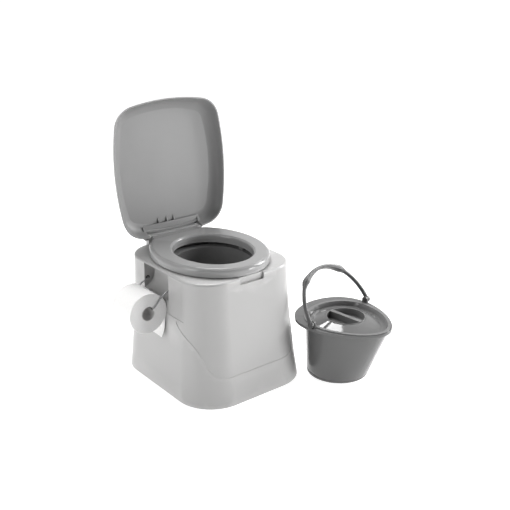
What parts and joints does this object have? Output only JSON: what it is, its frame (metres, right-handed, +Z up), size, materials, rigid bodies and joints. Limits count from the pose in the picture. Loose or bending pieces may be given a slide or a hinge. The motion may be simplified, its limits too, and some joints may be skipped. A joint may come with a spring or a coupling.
{
  "type": "portable camping toilet",
  "caption": "Portable camping toilet: flared plastic housing with hinged seat and lid, hanging waste pail, side roll holder, and a loose pail with dished lid and bail.",
  "frame": {"origin": "on the floor, under the middle of the set's overall box", "axes": "+Z up, -Y the way the toilet's front faces, +X to the right of a person who sits on it"},
  "size_m": [0.7211, 0.6676, 0.7914],
  "materials": {
    "housing_plastic": "fine satin grain",
    "pad_rubber": "matt black",
    "pin_plastic": "smooth",
    "cap_plastic": "satin",
    "bush_plastic": "smooth",
    "inner_pail_plastic": "polished",
    "pail_plastic": "polished",
    "pail_lid_plastic": "polished",
    "bail_plastic": "polished",
    "bail_pin_plastic": "smooth",
    "bail_cap_plastic": "smooth",
    "washer_plastic": "satin",
    "seat_plastic": "semi-gloss",
    "buffer_rubber": "matt",
    "lid_plastic": "satin",
    "wire_steel": "bright drawn wire",
    "core_card": "matt card",
    "roll_paper": "soft embossed paper",
    "tail_paper": "soft embossed paper"
  },
  "bodies": {
    "housing": {"housing": "housing_plastic", "foot_pads": "pad_rubber", "hinge_pins": "pin_plastic", "hinge_caps": "cap_plastic", "wire_bushes": "bush_plastic"},
    "lid": {"lid": "lid_plastic"},
    "seat": {"seat": "seat_plastic", "seat_buffers": "buffer_rubber"},
    "inner_pail": {"inner_pail": "inner_pail_plastic"},
    "roll_holder": {"roll_wire": "wire_steel", "paper_tail": "tail_paper"},
    "roll": {"toilet_roll": "roll_paper", "roll_core": "core_card"},
    "pail": {"pail": "pail_plastic", "bail_pins": "bail_pin_plastic", "bail_pin_caps": "bail_cap_plastic", "bail_washers": "washer_plastic"},
    "bail": {"bail": "bail_plastic"},
    "pail_lid": {"pail_lid": "pail_lid_plastic"}
  },
  "joints": [
    {"name": "lid_hinge", "type": "hinge", "parent": "housing", "child": "lid", "pos_m": [-0.065, 0.287, 0.382], "axis": [-1, 0, 0], "range_deg": [-93.9, 0]},
    {"name": "seat_hinge", "type": "hinge", "parent": "housing", "child": "seat", "pos_m": [-0.065, 0.287, 0.382], "axis": [-1, 0, 0], "range_deg": [0, 92]},
    {"name": "roll_holder_swing", "type": "hinge", "parent": "housing", "child": "roll_holder", "pos_m": [-0.23, 0.1115, 0.308], "axis": [0, 1, 0], "range_deg": [0, 50]},
    {"name": "roll_spin", "type": "hinge", "parent": "roll_holder", "child": "roll", "pos_m": [-0.3035, 0.106, 0.254], "axis": [0, 1, 0], "continuous": true},
    {"name": "inner_pail_lift", "type": "slide", "parent": "housing", "child": "inner_pail", "axis": [0, 0, 1], "range_m": [0, 0.01]},
    {"name": "pail_lift", "type": "slide", "parent": "housing", "child": "pail", "axis": [0, 0, 1], "range_m": [0, 0.25]},
    {"name": "bail_swing", "type": "hinge", "parent": "pail", "child": "bail", "pos_m": [0.2209, -0.16375, 0.191], "axis": [-0.993, -0.1184, 0], "range_deg": [-122, 52]},
    {"name": "pail_lid_lift", "type": "slide", "parent": "pail", "child": "pail_lid", "axis": [0, 0, 1], "range_m": [0, 0.07]}
  ]
}
